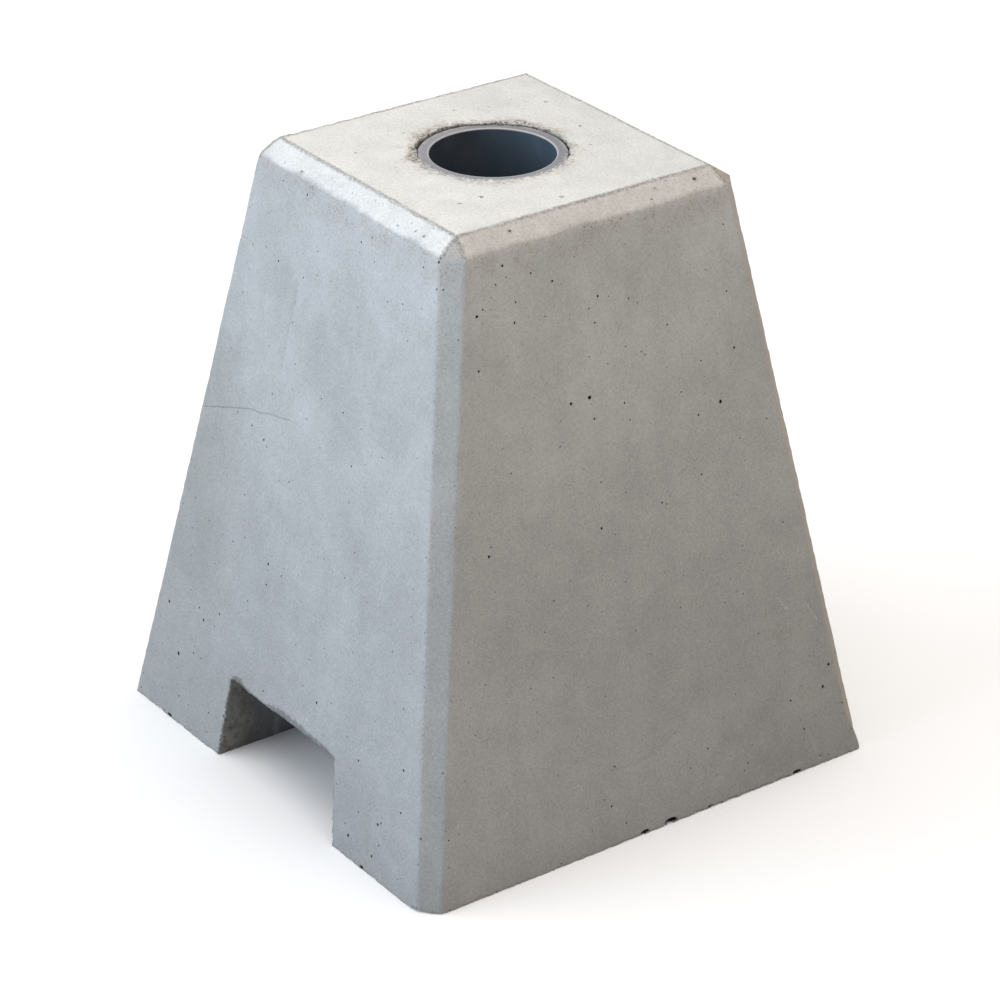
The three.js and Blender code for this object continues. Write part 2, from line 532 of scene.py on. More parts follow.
# Where a point on an edge or a corner of the cast form has worn to
def wornEdgePoint(i, kind):
    place = places[i]
    normals = [patches[n]["normal"] for n in ownPatches[i]]
    even = max(0.0, min(unevenDepth(place, patches[n]["name"]) for n in ownPatches[i]))
    if kind == "bore":
        return place - normals[0] * even
    bisector = unit(np.sum(normals, axis=0))
    spread = float(bisector @ normals[0])
    radius = wear[kind]["round"] * (1 if len(normals) == 2 else 0.5)
    sink = radius * (1 / spread - 1) + breakDepth(place, kind) + even / max(spread, 0.5)
    if kind == "brow":
        rise, back = browReach(place)
        sink += math.sqrt(2) * rise * back / (rise + back)
        # painted shade on the brow's break
        shaded[i] = block["browShade"]
    moved = place - bisector * sink
    if any(patches[n]["name"] in ("leftFoot", "rightFoot") for n in ownPatches[i]):
        moved[2] = max(0.0, place[2] + 0.35 * breakDepth(place, kind))
    return moved


# Moves every point from the cast form to the worn one
def wornPlaces():
    worn = [p.copy() for p in places]
    edgeNormals = normalsAtEdges()
    for patch in patches:
        inner = [i for i in patch["ids"] if len(ownPatches[i]) == 1 and ownKind[i] is None]
        depth, slide = wearBesideEdges(patch, inner, edgeNormals)
        for j, i in enumerate(inner):
            sink = depth[j] + max(0.0, unevenDepth(places[i], patch["name"])) + sunk.get(i, 0)
            worn[i] = places[i] - patch["normal"] * sink + slide[j]
    for i, kind in enumerate(ownKind):
        if kind is not None and ownPatches[i]:
            worn[i] = wornEdgePoint(i, kind)
    return np.array([swollen(p) for p in worn])


def makeMesh(name, points, cells):
    mesh = bpy.data.meshes.new(name)
    mesh.from_pydata([tuple(p) for p in points], [], cells)
    mesh.update()
    return mesh


def link(name, mesh):
    made = bpy.data.objects.new(name, mesh)
    bpy.context.scene.collection.objects.link(made)
    return made


def storeValues(mesh, name, values):
    attribute = mesh.attributes.new(name, "FLOAT", "POINT")
    attribute.data.foreach_set("value", np.asarray(values, np.float32))


castForm()
worn = wornPlaces()
blockMesh = makeMesh("concreteBlock", worn * mm, triangles)
storeValues(blockMesh, "markShade", [shaded.get(i, 0.0) for i in range(len(places))])
storeValues(blockMesh, "broken", np.zeros(len(places)))
print(f"cast form: {len(triangles)} triangles in {len(patches)} faces")

# How pitted each kind of face is, and how much grime and painted shade each kind of edge carries, from 0
# to 1
pitted = {"side0": 1.0, "side1": 1.0, "side2": 0.4, "side3": 0.4, "top": 0.12, "chamfer": 0.5,
          "arris": 0.6, "facet": 0.4, "channel": 0.0, "Foot": 0.0}
edgeSoilAndShade = {"arris": 0.3, "facet": 0.8, "easedFacet": 0.0, "shoulder": 0.4, "topEdge": 1.0, "foot": 0.6,
         "mouth": 1.0, "brow": 0.3, "channel": 0.8, "corner": 1.0}
# What each kind of face is called in the attributes that the material reads
faceLabels = {"top": "onTop", "chamfer": "onChamfer", "arris": "onArris", "facet": "onArris",
              "channel": "inChannel"}


# Values from 0 to 1 at every point: kinds of face, how pitted, frayed or crumbly it is there, and its
# grime and painted edge shade
def surfaceShares():
    shares = {name: np.zeros(len(places)) for name in
              ("pitted", "frayed", "crumbly", "edgeSoilAndShade", "onTop", "onChamfer", "onArris", "inChannel")}
    for patch in patches:
        name = patch["name"].rstrip("0123")
        ids = np.array(patch["ids"])
        at = np.array([places[i] for i in ids])
        share = max(value for key, value in pitted.items() if key in patch["name"])
        shares["pitted"][ids] = np.maximum(shares["pitted"][ids], share)
        for key, label in faceLabels.items():
            if name.startswith(key):
                faces = np.array([len(ownPatches[i]) for i in ids])
                shares[label][ids] = np.maximum(shares[label][ids], np.where(faces > 1, 0.5, 1.0))
        for a, b, kind in patch["lines"]:
            away = distanceToLine(at, a, b)
            shadeAndSoil = edgeSoilAndShade[kind] * np.clip(1.4 - away / 1.6, 0, 1)
            shares["edgeSoilAndShade"][ids] = np.maximum(shares["edgeSoilAndShade"][ids], shadeAndSoil)
            if kind in ("foot", "mouth"):
                shares["frayed"][ids[away < 1.1]] = 1.0
        if name == "top":
            away = np.hypot(at[:, 0], at[:, 1]) - block["boreRadius"]
            shares["crumbly"][ids] = np.clip(1.4 - away / 2.0, 0, 1) * np.where(at[:, 0] > 15, 0.5, 1.0)
    gap = [i for i, kind in enumerate(ownKind) if kind == "bore" and places[i][2] > lip["levels"][3]]
    shares["crumbly"][gap] = 0.8
    return shares


for name, share in surfaceShares().items():
    storeValues(blockMesh, name, share)


# A closed lump for breaking out holes and chips, or for a crumb of paste
def lump(name, subdivisions, roughness, sunkBy, broken, seed, flatness=1.0, onTop=0.0):
    shape = bmesh.new()
    bmesh.ops.create_icosphere(shape, subdivisions=subdivisions, radius=1)
    for vertex in shape.verts:
        swell = 1 + roughness * noise.fractal(vertex.co * 1.3 + Vector((seed, 0, 0)), 0.8, 2.1, 3)
        vertex.co = vertex.co * swell - Vector((0, 0, sunkBy))
        vertex.co.z *= flatness
    mesh = bpy.data.meshes.new(name)
    shape.to_mesh(mesh)
    shape.free()
    storeValues(mesh, "broken", [broken] * len(mesh.vertices))
    storeValues(mesh, "onTop", [onTop] * len(mesh.vertices))
    return link(name, mesh)


# The bug holes big enough to know by their place. On a side: how far along it, height, radius.
# Shallow ones are told by the name of the face and the place.
bugHoles = {
    "right": [(-60.5, 231, 0.8), (-62.3, 210, 0.6), (-46.6, 247.4, 0.6), (-34, 241.5, 0.45),
              (-24.5, 236, 0.6), (-42.2, 232, 0.4), (-43.7, 224.4, 0.5), (-4, 225, 0.55),
              (-6.5, 215, 0.5), (10.5, 220.5, 0.4), (28, 205.5, 0.5), (60, 188, 0.6), (59.5, 238.4, 0.4),
              (-12.3, 186.5, 1.0), (-21.3, 186.3, 0.7), (-11, 177.5, 0.6), (51, 168, 0.8),
              (-12.5, 133, 0.6), (-66.5, 137, 0.7), (18, 135, 0.5), (95.9, 42.2, 0.8), (92, 33.5, 0.7),
              (74.7, 32.7, 0.5), (80.5, 18.2, 0.5), (101.8, 23.2, 0.5), (87.7, 4, 0.4), (92.2, 3, 0.4),
              (58.5, 211.5, 0.45), (7, 202, 0.4), (16, 196.5, 0.45), (43, 187, 0.4), (32, 177, 0.4),
              (4, 180, 0.45), (39.5, 165.5, 0.55), (6, 172.5, 0.4), (73.5, 155, 0.4), (38.5, 141, 0.45),
              (30, 26, 0.4), (50, 13, 0.4), (-17, 33.5, 0.5), (-20.5, 17.5, 0.5), (-14, 8, 0.5),
              (20.5, 20.5, 0.4), (-99, 29.5, 0.4), (-94, 30.5, 0.4), (-57.5, 233, 0.4),
              (-50.5, 241, 0.4)],
    "front": [(-44, 249, 0.4), (-26.5, 249, 0.5), (13, 243, 0.5), (19.5, 247, 0.5), (-40.5, 217, 0.45),
              (54, 247, 0.5), (-78, 30, 1.0), (-62.5, 52, 0.65), (23.5, 53, 0.6), (-13.5, 41.5, 0.45),
              (85.5, 52, 0.7), (87.5, 34.5, 0.6), (74, 23, 0.75), (76, 24.5, 0.5), (56, 9.5, 0.7),
              (60.5, 22, 0.45), (73, 8.5, 0.6), (56, 42.5, 0.5), (76.6, 15, 0.45),
              (62.7, 252, 0.6), (15.5, 174, 0.4), (-45, 145.5, 0.5), (-35.5, 143, 0.5), (-33, 141, 0.4),
              (25.5, 155.5, 0.4), (-14.5, 133, 0.45), (-40, 98.5, 0.45), (-48, 93.5, 0.5),
              (-21.5, 94.5, 0.65), (-11.5, 93.5, 0.4), (-21, 85.5, 0.5), (31, 110.5, 0.4),
              (-32.5, 73.5, 0.4), (-89.5, 49, 0.7), (-66.5, 56, 0.5), (-51.5, 59.5, 0.55), (0, 174, 0.4),
              (-67, 35, 0.4), (-74, 12, 0.45), (-51, 14.5, 0.5), (-50.5, 6, 0.4), (4.5, 70, 0.35),
              (53, 13.5, 0.4), (-103, 3, 0.45)],
    "back": [(-48, 214, 0.7), (22, 176, 0.9), (-15, 96, 0.6), (64, 61, 0.8), (-74, 40, 0.7)],
    "left": [(30, 231, 0.6), (-38, 188, 0.8), (12, 142, 0.6), (55, 90, 0.9), (-66, 55, 0.7),
             (-5, 31, 0.6)],
    "sides": ("front", "right", "back", "left"),
    "shallow": [("chamfer1", (64.5, -38.4, 257.5), 0.6), ("chamfer1", (64.8, 50.6, 257.3), 0.85),
                ("chamfer1", (62.6, 38, 258.8), 0.3), ("chamfer1", (67.6, 27.2, 255.3), 0.4),
                ("chamfer1", (64.1, 31.5, 257.8), 0.3), ("facet1", (69.6, 63.5, 254), 0.7),
                ("chamfer0", (47.4, -66.3, 256.2), 0.4), ("chamfer0", (41.7, -66.1, 256.4), 0.3),
                ("arris0", (64.9, -70.7, 243.5), 0.7), ("arris0", (64, -72, 241.7), 0.5),
                ("arris0", (66.3, -70.6, 242), 0.45), ("facet0", (62.9, -69.4, 253.4), 0.5),
                ("arris0", (101.8, -107.7, 30), 0.45), ("arris0", (108.1, -100.1, 33.7), 0.6),
                ("arris0", (110, -102, 22.7), 0.45), ("arris0", (111.7, -104, 12), 0.45),
                ("side0", (93.2, -110.7, 17.4), 0.35), ("side0", (95, -110.4, 18.8), 0.3),
                ("side0", (91.6, -112.3, 7.6), 0.35), ("side0", (93.4, -112.1, 8.8), 0.3),
                ("side1", (73.7, -57.5, 233), 0.4), ("side1", (71.4, -42.5, 246.5), 0.35),
                ("side1", (71.7, -40.5, 244.7), 0.35), ("side1", (110.5, -100.6, 18.6), 0.4),
                ("top", (35.6, -31.2, 259.8), 0.6), ("top", (-1, 44, 259.8), 0.5),
                ("top", (-44, 12, 259.8), 0.4), ("top", (-30, 48, 259.8), 0.35)],
    "pinSpacing": 9.6,
    "pinSmallest": 0.13,
    "pinLargest": 0.46,
    "seed": 4,
}

# Chips out of the edges: the side, how far along it, then half length, depth and height
chips = {
    "foot": [(1, 40, 4.4, 1.8, 1.4), (1, 33, 3.4, 1.8, 1.2), (1, 23, 3, 1.6, 1.5), (1, 50, 3.0, 1.6, 1.2),
             (1, 59, 3.4, 1.6, 1.0), (1, 68, 2.4, 1.6, 0.9), (1, -14, 3.4, 1.4, 1.0),
             (0, -87, 4.0, 1.8, 1.5), (0, -70, 3.5, 1.4, 1.0), (0, 60, 2.6, 1.4, 1.0),
             (0, 76, 2.2, 1.6, 1.2), (2, 66, 4.2, 1.8, 1.9), (2, -30, 3, 1.4, 1.3),
             (3, -40, 4.5, 2.2, 1.8), (3, 52, 3, 1.6, 1.2), (3, 88, 3.5, 1.6, 1.5)],
    "voids": [(1, 8.3, 3.6, 5.0, 1.5), (1, -5, 2.4, 3.5, 1.0), (1, 75, 2.5, 3.0, 0.9),
              (1, 29, 1.6, 2.0, 0.7), (0, -79, 1.8, 1.8, 0.8), (0, 67.5, 1.4, 1.6, 0.7)],
    "fraySpacing": 2.6,
    "fraySmallest": 0.25,
    "frayLargest": 0.95,
    "crumbSpacing": 1.15,
    "crumbSmallest": 0.25,
    "crumbLargest": 1.15,
}


def tiltTo(normal):
    return Vector(normal).to_track_quat("Z", "Y").to_euler()


# Points that carry a size and a turn, for the trees to stand a shape on
def placesObject(name, rows):
    mesh = makeMesh(name, [np.array(at) * mm for at, _, _ in rows], [])
    for label, column in (("size", 1), ("turn", 2)):
        attribute = mesh.attributes.new(label, "FLOAT_VECTOR", "POINT")
        values = np.array([tuple(row[column]) for row in rows], np.float32)
        attribute.data.foreach_set("vector", values.ravel())
    return link(name, mesh)


def bugHoleRows():
    deep = []
    for side, name in enumerate(bugHoles["sides"]):
        normal = turned(patches[0]["normal"], side)
        for along, z, radius in bugHoles[name]:
            stretch = rng.uniform(0.85, 1.35)
            size = Vector((radius, radius * stretch, radius * 1.3)) * 0.88 * mm
            deep.append((onSide(side, along, z) - normal * 0.1, size, tiltTo(normal)))
    for side, along, length, depth, rise in chips["voids"]:
        at = turned((along, 0.8 - block["baseHalf"], 0.5 + 0.85 * rise), side)
        deep.append((at, Vector((length, depth, rise)) * mm, (0, 0, side * math.pi / 2)))
    shallow = []
    normals = {patch["name"]: patch["normal"] for patch in patches}
    for name, at, radius in bugHoles["shallow"]:
        size = Vector((radius * rng.uniform(0.9, 1.4), radius, radius)) * mm
        shallow.append((np.array(at) - normals[name] * 0.1, size, tiltTo(normals[name])))
    return deep, shallow


def chipRows():
    rows = []
    for side, along, length, depth, rise in chips["foot"]:
        at = turned((along, -block["baseHalf"], 0), side)
        lean = rng.uniform(-0.15, 0.15)
        rows.append((at, Vector((length, depth, rise)) * mm, (0, lean, side * math.pi / 2)))
    return rows


def newTree(name, inputs):
    tree = bpy.data.node_groups.new(name, "GeometryNodeTree")
    tree.interface.new_socket("Geometry", in_out="INPUT", socket_type="NodeSocketGeometry")
    tree.interface.new_socket("Geometry", in_out="OUTPUT", socket_type="NodeSocketGeometry")
    for label, kind in inputs:
        tree.interface.new_socket(label, in_out="INPUT", socket_type="NodeSocket" + kind)
    return tree, tree.nodes.new("NodeGroupInput"), tree.nodes.new("NodeGroupOutput")


def addNode(tree, kind, settings=None, **links):
    node = tree.nodes.new(kind)
    for key, value in (settings or {}).items():
        setattr(node, key, value)
    for label, source in links.items():
        socket = node.inputs[label.replace("_", " ")]
        if isinstance(source, bpy.types.NodeSocket):
            tree.links.new(source, socket)
        else:
            socket.default_value = source
    return node


# Gives the tree's result to the object as a plain mesh, and takes the modifier off again
def growWith(made, tree, values):
    modifier = made.modifiers.new(tree.name, "NODES")
    modifier.node_group = tree
    for item in tree.interface.items_tree:
        if item.in_out == "INPUT" and item.name in values:
            modifier[item.identifier] = values[item.name]
    graph = bpy.context.evaluated_depsgraph_get()
    mesh = bpy.data.meshes.new_from_object(made.evaluated_get(graph), depsgraph=graph)
    made.modifiers.remove(modifier)
    made.data = mesh


# Shapes stood on named points, with the size and turn that each point carries
def standOnPlaces(tree, placesSocket, shapeSocket):
    at = addNode(tree, "GeometryNodeObjectInfo", Object=placesSocket)
    shape = addNode(tree, "GeometryNodeObjectInfo", Object=shapeSocket)
    size = addNode(tree, "GeometryNodeInputNamedAttribute", {"data_type": "FLOAT_VECTOR"}, Name="size")
    turn = addNode(tree, "GeometryNodeInputNamedAttribute", {"data_type": "FLOAT_VECTOR"}, Name="turn")
    rotation = addNode(tree, "FunctionNodeEulerToRotation", Euler=turn.outputs["Attribute"])
    return addNode(tree, "GeometryNodeInstanceOnPoints", Points=at.outputs["Geometry"],
                   Instance=shape.outputs["Geometry"], Rotation=rotation.outputs[0],
                   Scale=size.outputs["Attribute"]).outputs["Instances"]


# Shapes scattered over the part of the surface that an attribute marks
def scatter(tree, surface, share, spacing, smallest, largest, shapeSocket, seed):
    chance = addNode(tree, "GeometryNodeInputNamedAttribute", {"data_type": "FLOAT"}, Name=share)
    points = addNode(tree, "GeometryNodeDistributePointsOnFaces", {"distribute_method": "POISSON"},
                     Mesh=surface, Distance_Min=spacing, Density_Max=1e7,
                     Density_Factor=chance.outputs["Attribute"], Seed=seed)
    draw = addNode(tree, "FunctionNodeRandomValue", {"data_type": "FLOAT"}, Seed=seed)
    skewed = addNode(tree, "ShaderNodeMath", {"operation": "POWER"})
    tree.links.new(draw.outputs[1], skewed.inputs[0])
    skewed.inputs[1].default_value = 2.2
    size = addNode(tree, "ShaderNodeMapRange", Value=skewed.outputs[0], To_Min=smallest, To_Max=largest)
    shape = addNode(tree, "GeometryNodeObjectInfo", Object=shapeSocket)
    return addNode(tree, "GeometryNodeInstanceOnPoints", Points=points.outputs["Points"],
                   Instance=shape.outputs["Geometry"], Rotation=points.outputs["Rotation"],
                   Scale=size.outputs["Result"]).outputs["Instances"]


def breakOutTree():
    tree, inputs, output = newTree("breakOut", [
        ("Hole Places", "Object"), ("Shallow Places", "Object"), ("Chip Places", "Object"),
        ("Hole Shape", "Object"), ("Pin Shape", "Object"), ("Chip Shape", "Object"),
        ("Fray Shape", "Object"), ("Crumb Shape", "Object"),
        ("Pin Spacing", "Float"), ("Pin Smallest", "Float"), ("Pin Largest", "Float"),
        ("Fray Spacing", "Float"), ("Fray Smallest", "Float"), ("Fray Largest", "Float"),
        ("Crumb Spacing", "Float"), ("Crumb Smallest", "Float"), ("Crumb Largest", "Float"),
        ("Struck Level", "Float"), ("Seed", "Int"), ("Concrete", "Material")])
    given = inputs.outputs
    surface = given["Geometry"]
    crumbs = scatter(tree, surface, "crumbly", given["Crumb Spacing"], given["Crumb Smallest"],
                     given["Crumb Largest"], given["Crumb Shape"], given["Seed"])
    built = addNode(tree, "GeometryNodeMeshBoolean", {"operation": "UNION", "solver": "MANIFOLD"})
    tree.links.new(surface, built.inputs["Mesh 2"])
    tree.links.new(crumbs, built.inputs["Mesh 2"])
    cut = addNode(tree, "GeometryNodeMeshBoolean", {"operation": "DIFFERENCE", "solver": "MANIFOLD"})
    tree.links.new(built.outputs[0], cut.inputs["Mesh 1"])
    pins = scatter(tree, surface, "pitted", given["Pin Spacing"], given["Pin Smallest"],
                   given["Pin Largest"], given["Pin Shape"], given["Seed"])
    frays = scatter(tree, surface, "frayed", given["Fray Spacing"], given["Fray Smallest"],
                    given["Fray Largest"], given["Fray Shape"], given["Seed"])
    holes = standOnPlaces(tree, given["Hole Places"], given["Hole Shape"])
    shallow = standOnPlaces(tree, given["Shallow Places"], given["Pin Shape"])
    broken = standOnPlaces(tree, given["Chip Places"], given["Chip Shape"])
    for shapes in (pins, frays, holes, shallow, broken):
        tree.links.new(shapes, cut.inputs["Mesh 2"])
    # the paste is struck off flush with the mould's rim
    before = addNode(tree, "GeometryNodeInputPosition")
    split = addNode(tree, "ShaderNodeSeparateXYZ", Vector=before.outputs[0])
    lower = addNode(tree, "ShaderNodeMath", {"operation": "MINIMUM"})
    tree.links.new(split.outputs["Z"], lower.inputs[0])
    tree.links.new(given["Struck Level"], lower.inputs[1])
    at = addNode(tree, "ShaderNodeCombineXYZ", X=split.outputs["X"], Y=split.outputs["Y"],
                 Z=lower.outputs[0])
    struck = addNode(tree, "GeometryNodeSetPosition", Geometry=cut.outputs[0], Position=at.outputs[0])
    plain = addNode(tree, "GeometryNodeRealizeInstances", Geometry=struck.outputs[0])
    finish = addNode(tree, "GeometryNodeSetMaterial", Geometry=plain.outputs[0],
                     Material=given["Concrete"])
    tree.links.new(finish.outputs[0], output.inputs[0])
    return tree


# The pipe: its wall's section, with the cut end's edges broken, swept round the axis
sleeve = {
    "outer": (sleeveHigh.x - sleeveLow.x) / 2 / mm,
    "wall": 4.5,
    "edgeBreak": 0.35,
    "sides": 160,
}


def sleeveTree():
    tree, inputs, output = newTree("sleevePipe", [
        ("Middle Radius", "Float"), ("Wall", "Float"), ("Length", "Float"), ("Lift", "Float"),
        ("Edge Break", "Float"), ("Sides", "Int"), ("Plastic", "Material")])
    given = inputs.outputs
    ring = addNode(tree, "GeometryNodeCurvePrimitiveCircle", Resolution=given["Sides"],
                   Radius=given["Middle Radius"])
    section = addNode(tree, "GeometryNodeCurvePrimitiveQuadrilateral", Width=given["Wall"],
                      Height=given["Length"])
    eased = addNode(tree, "GeometryNodeFilletCurve", Curve=section.outputs[0],
                    Radius=given["Edge Break"])
    for socket in eased.inputs:
        if socket.name == "Mode":
            socket.default_value = "Poly"
        if socket.name == "Count":
            socket.default_value = 3
    tube = addNode(tree, "GeometryNodeCurveToMesh", Curve=ring.outputs[0],
                   Profile_Curve=eased.outputs[0])
    raised = addNode(tree, "ShaderNodeCombineXYZ", Z=given["Lift"])
    stood = addNode(tree, "GeometryNodeTransform", Geometry=tube.outputs[0],
                    Translation=raised.outputs[0])
    plain = addNode(tree, "GeometryNodeRealizeInstances", Geometry=stood.outputs[0])
    finish = addNode(tree, "GeometryNodeSetMaterial", Geometry=plain.outputs[0],
                     Material=given["Plastic"])
    tree.links.new(finish.outputs[0], output.inputs[0])
    return tree


# Short forms for building a shader
def newMaterial(name):
    material = bpy.data.materials.new(name)
    material.use_nodes = True
    tree = material.node_tree
    tree.nodes.clear()
    output = tree.nodes.new("ShaderNodeOutputMaterial")
    shader = tree.nodes.new("ShaderNodeBsdfPrincipled")
    tree.links.new(shader.outputs[0], output.inputs["Surface"])
    return material, tree, shader


def sums(tree, operation, a, b=0.0):
    node = tree.nodes.new("ShaderNodeMath")
    node.operation = operation
    for socket, value in zip(node.inputs, (a, b)):
        if isinstance(value, bpy.types.NodeSocket):
            tree.links.new(value, socket)
        else:
            socket.default_value = value
    return node.outputs[0]


def both(tree, *masks):
    total = masks[0]
    for mask in masks[1:]:
        total = sums(tree, "MULTIPLY", total, mask)
    return total


# A mask that runs from 0 to 1 as the value goes from one end to the other
def ramp(tree, value, start, end, low=0.0, high=1.0, shape="SMOOTHSTEP"):
    node = tree.nodes.new("ShaderNodeMapRange")
    node.interpolation_type = shape
    tree.links.new(value, node.inputs["Value"])
    for label, number in (("From Min", start), ("From Max", end), ("To Min", low), ("To Max", high)):
        node.inputs[label].default_value = number
    return node.outputs["Result"]


def mixed(tree, share, a, b, blend="MIX"):
    node = tree.nodes.new("ShaderNodeMix")
    node.data_type = "RGBA"
    node.blend_type = blend
    for label, value in ((0, share), (6, a), (7, b)):
        if isinstance(value, bpy.types.NodeSocket):
            tree.links.new(value, node.inputs[label])
        else:
            node.inputs[label].default_value = value if label == 0 else (*value, 1)
    return node.outputs[2]


def scaled(tree, colour, value):
    node = tree.nodes.new("ShaderNodeVectorMath")
    node.operation = "SCALE"
    tree.links.new(colour, node.inputs[0])
    tree.links.new(value, node.inputs["Scale"])
    return node.outputs[0]


# Noise whose grain is given in millimetres
def cloud(tree, at, grain, detail=4, roughness=0.55, distortion=0.0):
    node = tree.nodes.new("ShaderNodeTexNoise")
    tree.links.new(at, node.inputs["Vector"])
    node.inputs["Scale"].default_value = 1000 / grain
    node.inputs["Detail"].default_value = detail
    node.inputs["Roughness"].default_value = roughness
    node.inputs["Distortion"].default_value = distortion
    return node.outputs["Fac"]


# Dots round scattered centres, one centre to each cell of this width in millimetres
def specks(tree, at, cell, radius):
    node = tree.nodes.new("ShaderNodeTexVoronoi")
    tree.links.new(at, node.inputs["Vector"])
    node.inputs["Scale"].default_value = 1000 / cell
    return ramp(tree, node.outputs["Distance"], radius / cell * 1.25, radius / cell * 0.7)


def stretchedPlace(tree, at, scale=(1, 1, 1), shift=(0, 0, 0)):
    node = tree.nodes.new("ShaderNodeMapping")
    tree.links.new(at, node.inputs["Vector"])
    node.inputs["Scale"].default_value = scale
    node.inputs["Location"].default_value = shift
    return node.outputs[0]


# The place on the object, split up, and how far it is from the axis
def placeOnObject(tree):
    at = tree.nodes.new("ShaderNodeTexCoord").outputs["Object"]
    split = tree.nodes.new("ShaderNodeSeparateXYZ")
    tree.links.new(at, split.inputs[0])
    x, y, z = split.outputs
    fromAxis = sums(tree, "SQRT", sums(tree, "ADD", both(tree, x, x), both(tree, y, y)))
    return at, x, y, z, fromAxis


def storedValue(tree, name):
    node = tree.nodes.new("ShaderNodeAttribute")
    node.attribute_name = name
    return node.outputs["Fac"]


def addBump(tree, shader, relief, strength, depth):
    bump = tree.nodes.new("ShaderNodeBump")
    bump.inputs["Strength"].default_value = strength
    bump.inputs["Distance"].default_value = depth
    tree.links.new(relief, bump.inputs["Height"])
    tree.links.new(bump.outputs[0], shader.inputs["Normal"])


concreteLook = {
    "grey": (0.320, 0.320, 0.307),
    "paleGrey": (0.367, 0.366, 0.353),
    "darkGrey": (0.274, 0.272, 0.259),
    "cream": (0.623, 0.620, 0.588),
    "dullCream": (0.540, 0.535, 0.505),
    "chamferCream": (0.612, 0.590, 0.547),
    "facetGrey": (0.400, 0.377, 0.345),
    # a dark colour for dirt and sand, and for painted shade along edges, in crannies and down the
    # sleeve's gap
    "dirtAndShade": (0.085, 0.075, 0.062),
    "brown": (0.30, 0.24, 0.18),
    # painted shade: the channel under the block is painted dark
    "channelShadeGrey": (0.172, 0.172, 0.162),
    "channelShadeDark": (0.112, 0.112, 0.107),
    "channelStain": (0.085, 0.066, 0.042),
    # dark for cracks, and painted shade on the brow's break
    "crackAndBrowShade": (0.085, 0.084, 0.084),
    # painted shade inside the bug holes and pins
    "void": (0.02, 0.019, 0.017),
    "scuff": (0.56, 0.56, 0.54),
    "paleAbove": 1.20,        # the faces darken towards the foot
    "darkBelow": 0.82,
    "frontPaintedLight": (0.941, 1.0, 1.078),        # painted light: the front is painted cooler, as the cool light on it
    # painted light: the right-hand side is painted warmer, as the warm light on it
    "rightPaintedLight": (1.0, 0.974, 0.948),
    # painted light: the near corner between front and right is painted in the mix of their lights
    "cornerPaintedLight": (0.935, 0.985, 1.050),
    "dimTint": (0.875, 0.872, 0.845),        # the front's lower left is a little duller
    "rightChamfer": (0.823, 0.837, 0.873),   # painted shade: the right-hand chamfer is painted darker
    "deepChannelShadeTint": (1.35, 1.42, 1.60),          # painted shade: further in, the channel's painted shade is lighter and bluer
    "roughness": 0.92,
    "bumpStrength": 0.35,
    "bumpDepth": 0.4,
}

# How strongly each stain or mark shows, from 0 to 1
stains = {
    "chamferBlotches": 0.22,
    "smudges": 0.24,
    "pepper": 0.5,
    "brownedCorners": 0.45,
    "darkSand": 0.4,
    "paleSand": 0.1,
    "edgeShadeSoilMix": 0.55,
    "sleeveGapPasteAndShade": 0.9,
    "channelMouth": 0.7,
    "crack": 0.7,
    "scuff": 0.9,
    "brokenEdge": 0.3,
}


# Where a point of the block's surface lies, as masks from 0 to 1, and the noises that break them up
def blockMasks(tree):
    at, x, y, z, fromAxis = placeOnObject(tree)
    here = SimpleNamespace(at=at, x=x, y=y, z=z, fromAxis=fromAxis)
    here.patchy = cloud(tree, stretchedPlace(tree, at, shift=(0.3, 0.1, 0.2)), 17, 6, 0.6, 0.6)
    here.clots = cloud(tree, stretchedPlace(tree, at, shift=(0.1, 0.4, 0.7)), 3.2, 4, 0.65)
    here.smallClots = cloud(tree, at, 1.5, 4, 0.7)
    here.onTop = storedValue(tree, "onTop")
    here.onArris = storedValue(tree, "onArris")
    here.inChannel = ramp(tree, storedValue(tree, "inChannel"), 0.3, 0.9)
    shoulder = block["shoulderHeight"] * mm
    wander = ramp(tree, here.patchy, 0.3, 0.7, -0.0011, 0.0011)
    here.onChamfer = both(tree, ramp(tree, storedValue(tree, "onChamfer"), 0.15, 0.85),
                          ramp(tree, sums(tree, "ADD", z, wander), shoulder - 0.0012, shoulder + 0.0015))
    here.offFloor = ramp(tree, z, 0.0002, 0.0014)
    here.nearCorner = both(tree, here.onArris, ramp(tree, sums(tree, "SUBTRACT", x, y), 0.06, 0.1))
    here.offCorner = both(tree, here.offFloor, sums(tree, "SUBTRACT", 1.0, here.nearCorner))
    here.rightward = ramp(tree, sums(tree, "SUBTRACT", x, sums(tree, "ABSOLUTE", y)), 0.0, 0.002)
    here.forward = ramp(tree, sums(tree, "ADD", y, sums(tree, "ABSOLUTE", x)), 0.0, -0.002)
    return here


# The grey of the faces, mottled, darker towards the foot, with painted cool light on the front and
# painted warm light on the right
def castGrey(tree, here):
    look = concreteLook
    broad = ramp(tree, cloud(tree, here.at, 75), 0.35, 0.65)
    colour = mixed(tree, broad, look["darkGrey"], look["paleGrey"])
    colour = mixed(tree, 0.6, colour, look["grey"])
    height = block["height"] * mm
    fall = ramp(tree, here.z, 0.0, height, look["darkBelow"], look["paleAbove"], "LINEAR")
    colour = mixed(tree, here.onChamfer, scaled(tree, colour, fall), look["chamferCream"])
    # painted light: the warm light on the right and the cool light on the front, painted into the grey
    rightward = both(tree, here.rightward, here.offCorner)
    colour = mixed(tree, rightward, colour, look["rightPaintedLight"], "MULTIPLY")
    forward = both(tree, here.forward, here.offCorner)
    colour = mixed(tree, forward, colour, look["frontPaintedLight"], "MULTIPLY")
    lowLeft = both(tree, ramp(tree, here.x, -0.025, -0.075), ramp(tree, here.z, 0.21, 0.13),
                   ramp(tree, here.z, 0.02, 0.08, 0.3, 1.0))
    return mixed(tree, both(tree, forward, lowLeft), colour, look["dimTint"], "MULTIPLY")


